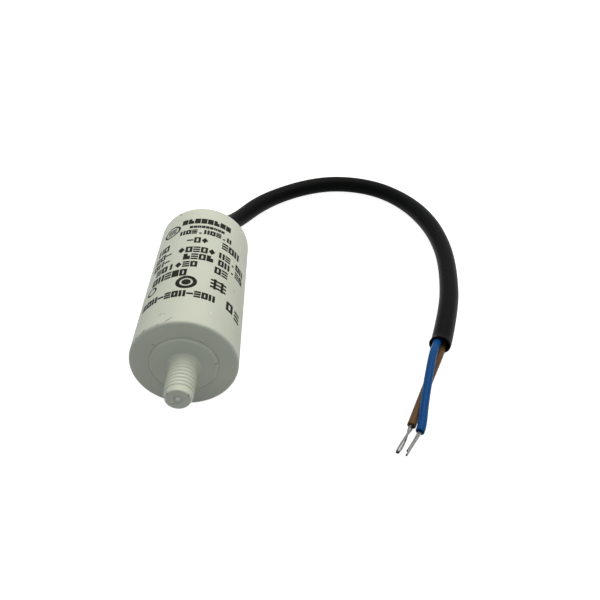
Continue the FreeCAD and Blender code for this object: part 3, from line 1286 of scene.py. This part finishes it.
@dataclass
class Core:
    """One stripped core: its coloured insulation and the tinned strands in its end.

    Lengths are in millimetres. The strands lie in two groups, each of them part away
    from the wire's middle. The groups start at the angle twist_start and turn on by
    twist, in radians, slower and slower over lengths of slowing. They part within
    parting of the insulation and close up over the last closing. The second group is
    short_by shorter than the first, and each strand step_back shorter than the last.
    """

    colour: str
    points: Sequence[Place]
    bare_length: float
    material: Material
    strand_material: Material
    twist_start: float
    twist: float
    part: float
    closing: float
    short_by: float
    diameter: float = 2.5
    bore: float = 1.3
    bore_depth: float = 1.2
    lip: float = 0.12
    strand: float = 0.28
    strand_tuck: float = 1.1
    strands_in_group: int = 4
    step_back: float = 0.12
    slowing: float = 0.8
    parting: float = 0.5

    def build(self) -> tuple[Object, Object, Line]:
        """Build the insulation and the strands.

        Returns:
            The insulation, the strands, and the insulation's own line.
        """
        line = Line(Route(f"{self.colour}_route", self.points).line())
        strip = line.length - self.bare_length * MM
        insulation = self._insulation(line, strip)
        strands = self._strands(line, strip)
        reach = [index for index, distance in enumerate(line.reach) if distance < strip]
        covered = Line(line.points[: reach[-1] + 1] + [line.at(strip)[0]])
        return insulation, strands, covered

    def _insulation(self, line: Line, strip: float) -> Object:
        """Build the insulation, with a cut end that shows the wire's hole.

        Args:
            line: the core's whole line.
            strip: where the insulation ends, in metres along the line.

        Returns:
            The finished insulation.
        """
        radius = self.diameter / 2 * MM
        bore = self.bore / 2 * MM
        lip = self.lip * MM
        rings = [Ring(0.0, radius)]
        rings += [Ring(d, radius) for d in line.between(0.5 * MM, strip - lip, 0.6 * MM)]
        rings += [Ring(strip - 0.03 * MM, radius - 0.06 * MM), Ring(strip, radius - lip)]
        rings += [Ring(strip, bore + 0.05 * MM), Ring(strip - 0.08 * MM, bore)]
        rings += [Ring(strip - self.bore_depth * MM, bore)]
        piece = sweep_tube(f"{self.colour}_insulation", line, rings, 24)
        dress(piece, self.material)
        return piece

    def _strands(self, line: Line, strip: float) -> Object:
        """Build the strands in two groups, which turn less and less about each other.

        Args:
            line: the core's whole line.
            strip: where the insulation ends, in metres along the line.

        Returns:
            The strands as one piece.
        """
        made = []
        radius = self.strand / 2 * MM
        start = strip - self.strand_tuck * MM
        packed, own = self.strand * 0.72, self.strand * 0.62
        for index in range(2 * self.strands_in_group):
            group, member = divmod(index, self.strands_in_group)
            end = line.length - (self.short_by * group + self.step_back * member) * MM
            place = self.twist_start + math.pi * group
            own_place = math.tau * member / self.strands_in_group

            def shift(
                distance: float, place: float = place, own_place: float = own_place
            ) -> tuple[float, float]:
                """Where this strand lies beside the middle of the wire."""
                bare = max(0.0, distance - strip)
                turn = self.twist * math.log(1 + bare / (self.slowing * MM))
                left = line.length - distance
                opened, closed = bare / (self.parting * MM), left / (self.closing * MM)
                share = max(0.0, min(1.0, opened, closed))
                part = packed + (self.part - packed) * share
                aside = part * math.cos(place + turn) + own * math.cos(own_place + 2 * turn)
                raised = part * math.sin(place + turn) + own * math.sin(own_place + 2 * turn)
                return aside * MM, raised * MM

            rings = [Ring(d, radius) for d in line.between(start, end - radius, 0.35 * MM)]
            for step in (0.35, 0.7, 0.95):
                away = math.sqrt(1 - step**2)
                rings.append(Ring(end - radius + radius * step, radius * away))
            made.append(sweep_tube(f"{self.colour}_strand", line, rings, 10, shift, end))
        bpy.ops.object.select_all(action="DESELECT")
        for strand in made:
            strand.select_set(True)
        bpy.context.view_layer.objects.active = made[0]
        bpy.ops.object.join()
        piece = bpy.context.object
        piece.name = f"{self.colour}_strands"
        dress(piece, self.strand_material)
        return piece


@dataclass(frozen=True)
class Bend:
    """A bend at which the sheath is a little fuller and lies a little further in.

    place and reach are metres along the sheath, fuller and inwards millimetres.
    """

    place: float
    reach: float
    fuller: float
    inwards: float


@dataclass
class Cable:
    """The black sheath on its route, and the two cores that come out of its mouth.

    Lengths are in millimetres. lip_lean is how far the mouth leans inwards for each
    millimetre of its flare. The sheath's route runs from the lid's seat, with the share
    of the fall to the bench that is still to come, and the cores' from the mouth.
    """

    sheath_diameter: float = 6.5
    mouth_bore: float = 5.3
    mouth_depth: float = 5.0
    lip_flare: float = 0.13
    lip_lean: float = 2.4
    lip_length: float = 3.2
    bends: tuple[Bend, ...] = (
        Bend(0.152, 0.02, 0.26, 0.47),
        Bend(0.1, 0.028, 0.1, 0.18),
        Bend(0.06, 0.012, 0.16, 0.08),
    )
    blue_in_mouth: tuple[float, float] = (-1.15, 0.75)
    brown_in_mouth: tuple[float, float] = (0.5, -1.28)
    core_lead_out: float = 0.3
    route: tuple[Place, ...] = (
        (0.0, 0.0, 1.0), (0.0, 12.5, 1.0), (0.9, 24.5, 0.65), (6.7, 37.7, 0.065),
        (18.3, 58.1, 0.0), (34.8, 70.9, 0.0), (51.5, 75.8, 0.0), (69.0, 70.3, 0.0), (81.0, 55.8, 0.0),
        (87.5, 37.8, 0.0), (89.0, 18.3, 0.0), (87.0, -0.7, 0.0), (82.8, -20.9, 0.0),
        (76.1, -39.4, 0.0),
    )
    blue_route: tuple[Place, ...] = (
        (-3.9, -6.2, 6.2), (-9.4, -24.0, 3.4), (-11.5, -32.5, 2.3), (-13.3, -35.9, 2.3),
        (-17.5, -41.4, 1.0),
    )
    brown_route: tuple[Place, ...] = (
        (-1.3, -4.2, 2.2), (-6.7, -15.0, 1.26), (-12.7, -28.1, 1.26), (-15.6, -34.4, 1.26),
        (-19.4, -40.2, 0.8),
    )

    def _sheath_points(self) -> list[Place]:
        """The sheath's control points in millimetres in the CAD frame."""
        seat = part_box("end_lid")[1].y / MM - CaseSizes().seat_depth
        rest = self.sheath_diameter / 2
        fall = AXIS_Z / MM - rest
        return [(x, seat + y, rest + share * fall) for x, y, share in self.route]

    def _core_points(self, place: tuple[float, float], offsets: Sequence[Place]) -> list[Place]:
        """A core's control points, from inside the mouth to its bare end.

        Args:
            place: how far aside and how far up it lies from the middle of the mouth.
            offsets: points across and along from the mouth, and up from the bench.

        Returns:
            Control points in millimetres in the CAD frame.
        """
        before, mouth = (Vector(place) for place in self._sheath_points()[-2:])
        heading = (mouth - before).normalized()
        aside = Vector((-heading.y, heading.x, 0.0)) * place[0]
        start = mouth - heading * self.mouth_depth + aside + Vector((0.0, 0.0, place[1]))
        out = start + heading * (self.mouth_depth + self.core_lead_out)
        onward = [(mouth.x + x, mouth.y + y, z) for x, y, z in offsets]
        return [tuple(start), tuple(out), *onward]

    def _build_sheath(self, line: Line, material: Material) -> Object:
        """Build the sheath with its open, slightly flared mouth.

        Args:
            line: the sheath's line.
            material: the black vinyl.

        Returns:
            The finished sheath.
        """
        radius = self.sheath_diameter / 2 * MM
        bore = self.mouth_bore / 2 * MM
        end = line.length
        lip = self.lip_flare * MM
        flare_start = end - self.lip_length * MM

        def shift(distance: float) -> tuple[float, float]:
            """How far the middle moves aside and up; it moves up as much as it is fuller."""
            flare = lip * max(0.0, (distance - flare_start) / (end - flare_start)) ** 2
            inwards, fuller = 0.0, 0.0
            for bend in self.bends:
                share = math.exp(-(((distance - bend.place) / bend.reach) ** 2))
                inwards += bend.inwards * MM * share
                fuller += bend.fuller * MM * share
            return -inwards - self.lip_lean * flare, fuller + flare

        places = line.between(0.0, flare_start, 1.2 * MM)
        places += line.between(flare_start, end - 0.12 * MM, 0.25 * MM)[1:]
        rings = [Ring(distance, radius + shift(distance)[1]) for distance in places]
        rings += [Ring(end, radius + lip - 0.15 * MM), Ring(end, bore + 0.2 * MM)]
        rings += [Ring(end - 0.15 * MM, bore + 0.08 * MM), Ring(end - 0.5 * MM, bore)]
        hollow = line.between(end - 1.0 * MM, end - self.mouth_depth * MM, 1.0 * MM)
        rings += [Ring(distance, bore) for distance in hollow]
        piece = sweep_tube("black_sheath", line, rings, 40, shift)
        dress(piece, material)
        return piece

    def build(self, black: Material, blue: Material, brown: Material, tin: Material) -> None:
        """Args:
            black: the sheath's vinyl.
            blue: the blue insulation.
            brown: the brown insulation.
            tin: the strands' tinned copper, with painted shade towards their tips.
        """
        line = Line(Route("sheath_route", self._sheath_points()).line())
        sheath = self._build_sheath(line, black)
        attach(sheath, BODY)
        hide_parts("cable_sheath")
        LOG.info("black sheath: %.1f mm", line.length / MM)
        blue_points = self._core_points(self.blue_in_mouth, self.blue_route)
        brown_points = self._core_points(self.brown_in_mouth, self.brown_route)
        cores = (
            Core("blue", blue_points, 8.8, blue, tin, 0.2, 0.15, 0.3, closing=0.1, short_by=1.4),
            Core("brown", brown_points, 10.5, brown, tin, -1.88, 1.94, 0.37, closing=1.5, short_by=0.0),
        )
        for core in cores:
            insulation, strands, covered = core.build()
            for piece in (insulation, strands):
                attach(piece, BODY)
            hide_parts(f"{core.colour}_core")
            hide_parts(f"{core.colour}_wire")
            LOG.info("%s core: %.1f mm", core.colour, covered.length / MM)


# What the can holds


@dataclass
class Internals:
    """Finishes of the solids inside the can, which show when it is taken apart."""

    def dress_all(self, blue: Material, brown: Material, tin: Material) -> None:
        """Dress each inner solid of the frame.

        Args:
            blue: the blue insulation.
            brown: the brown insulation.
            tin: the tinned copper.
        """
        resin = CastOrWound("cast_resin", "#D8CFAE", "#CBBF98", 0.3).make()
        film = CastOrWound("metallised_film", "#9AA0A6", "#83898F", 0.25, ring_mm=0.4).make()
        wrap = CastOrWound("clear_film", "#D2D4CE", "#C5C8C0", 0.2, ring_mm=0.2).make()
        tube = CastOrWound("core_plastic", "#E2E2DA", "#D6D6CC", 0.5).make()
        zinc = DullMetal("sprayed_zinc", "#9EA1A4", "#7F8285", 0.65, 0.5, 0.05).make()
        solder = DullMetal("solder", "#C4C4C0", "#A8A8A4", 0.3, 0.8, 0.03).make()
        finishes = {
            "potting_resin": resin,
            "film_winding": film,
            "winding_wrap": wrap,
            "winding_core": tube,
            "base_end_contact": zinc,
            "cable_end_contact": zinc,
            "blue_lead": blue,
            "brown_lead": brown,
            "blue_lead_wire": tin,
            "brown_lead_wire": tin,
            "blue_solder": solder,
            "brown_solder": solder,
        }
        for node_name, material in finishes.items():
            dress_node(node_name, material)
            LOG.info("%s dressed as %s", node_name, material.name)


# The photographer's table


@dataclass
class PhotoTable:
    """A pale bench, a soft lamp above and behind, weak light all round, and the camera.

    Lengths are in metres and angles in degrees.
    """

    camera_place: Place = (0.02843, -0.15495, 0.13219)
    camera_dip: float = 36.2444
    camera_yaw: float = -1.45
    lens: float = 38.2
    sensor: float = 36.0
    clip: tuple[float, float] = (0.01, 20.0)
    bench_side: float = 4.0
    bench_tone: str = "#B4B4B0"
    bench_lift: float = 0.93
    lamp_place: Place = (0.2, 0.24, 0.9)
    lamp_target: Place = (0.03, 0.02, 0.01)
    lamp_side: float = 0.9
    lamp_power: float = 7.5
    lamp_colour: Place = (1.0, 0.97, 0.845)
    sky_level: float = 0.265
    sky_colour: tuple[float, float, float, float] = (0.73, 0.83, 1.0, 1.0)
    white: tuple[float, float, float, float] = (1.0, 1.0, 1.0, 1.0)

    def _seen_rays(self, tree: Tree) -> Socket:
        """1 for rays that show the background: to the camera, or by gloss or glass."""
        rays = add_node(tree, "LightPath").outputs
        seen = rays["Is Camera Ray"]
        for kind in ("Is Glossy Ray", "Is Transmission Ray"):
            both = add_node(tree, "Math", {0: seen, 1: rays[kind]}, operation="MAXIMUM")
            seen = both.outputs["Value"]
        return seen

    def _bench_material(self) -> Material:
        """The bench's pale finish, which shows white but keeps the object's shadow."""
        material = bpy.data.materials.new("pale_bench")
        material.use_nodes = True
        tree = material.node_tree
        tree.nodes.clear()
        seen = self._seen_rays(tree)
        lift = add_node(tree, "Math", {0: seen, 1: self.bench_lift}, operation="MULTIPLY")
        matt = add_node(tree, "BsdfDiffuse", {"Color": linear_colour(self.bench_tone)})
        light = add_node(tree, "Emission", {"Color": self.white, "Strength": lift.outputs["Value"]})
        both = add_node(tree, "AddShader", {0: matt.outputs["BSDF"], 1: light.outputs["Emission"]})
        add_node(tree, "OutputMaterial", {"Surface": both.outputs["Shader"]})
        return material

    def _build_sky(self) -> None:
        """Light all round at a plain level, white where it shows."""
        world = bpy.data.worlds.new("studio")
        bpy.context.scene.world = world
        world.use_nodes = True
        tree = world.node_tree
        tree.nodes.clear()
        seen = self._seen_rays(tree)
        weak, white = (
            add_node(tree, "Background", {"Color": colour, "Strength": level}).outputs["Background"]
            for colour, level in ((self.sky_colour, self.sky_level), (self.white, 1.0))
        )
        mixed = add_node(tree, "MixShader", {0: seen, 1: weak, 2: white})
        add_node(tree, "OutputWorld", {"Surface": mixed.outputs["Shader"]})

    def build(self) -> None:
        """Set the bench, the light and the camera."""
        bpy.ops.object.select_all(action="DESELECT")
        bpy.ops.mesh.primitive_plane_add(size=self.bench_side)
        bench = bpy.context.object
        bench.name = "bench"
        dress(bench, self._bench_material())
        self._build_sky()
        lamp_data = bpy.data.lights.new("soft_lamp", "AREA")
        lamp_data.size = self.lamp_side
        lamp_data.energy = self.lamp_power
        lamp_data.color = self.lamp_colour
        lamp = bpy.data.objects.new("soft_lamp", lamp_data)
        lamp.location = self.lamp_place
        towards = Vector(self.lamp_target) - lamp.location
        lamp.rotation_euler = towards.to_track_quat("-Z", "Y").to_euler()
        bpy.context.scene.collection.objects.link(lamp)
        camera_data = bpy.data.cameras.new("camera")
        camera_data.lens = self.lens
        camera_data.sensor_width = self.sensor
        camera_data.clip_start, camera_data.clip_end = self.clip
        camera = bpy.data.objects.new("camera", camera_data)
        camera.location = self.camera_place
        tilt, yaw = math.radians(90 - self.camera_dip), math.radians(self.camera_yaw)
        camera.rotation_euler = Euler((tilt, 0.0, yaw))
        bpy.context.scene.collection.objects.link(camera)
        bpy.context.scene.camera = camera
        bpy.context.scene.view_settings.view_transform = "Standard"
        LOG.info("bench, light and camera set")


def main() -> None:
    """Build the camera and cable first, then the can, its print and what it holds."""
    logging.basicConfig(level=logging.INFO, format="%(name)s: %(message)s")
    PhotoTable().build()
    blue = ExtrudedVinyl("blue_insulation", "#05447F", "#0D4F90", 0.42, 0.08).make()
    brown = ExtrudedVinyl("brown_insulation", "#5E4428", "#6A4F34", 0.42, 0.1).make()
    black = ExtrudedVinyl("black_sheath", "#030405", "#070809", 0.42, 0.036).make()
    tin = DullMetal("tinned_copper", "#B4B4AE", "#8C8C86", 0.3, 0.6, 0.02).make()
    # Tinned copper for the strands, with painted shade that darkens their tips.
    tin_with_tip_shade = DullMetal("tin_with_tip_shade", "#8C8E90", "#58595B", 0.35, 0.5, 0.03, 0.7).make()
    Cable().build(black, blue, brown, tin_with_tip_shade)
    can = Can()
    # The case's dark and pale marks include painted shade and a painted highlight.
    can.build_case(MouldedPlastic(stains_and_shade=STAINS_AND_SHADE, scuffs_and_highlight=SCUFFS_AND_HIGHLIGHT).make())
    can.build_lid(MouldedPlastic("moulded_lid").make())
    PrintedMarks().build(PrintInk().make())
    Internals().dress_all(blue, brown, tin)


if __name__ == "__main__":
    main()
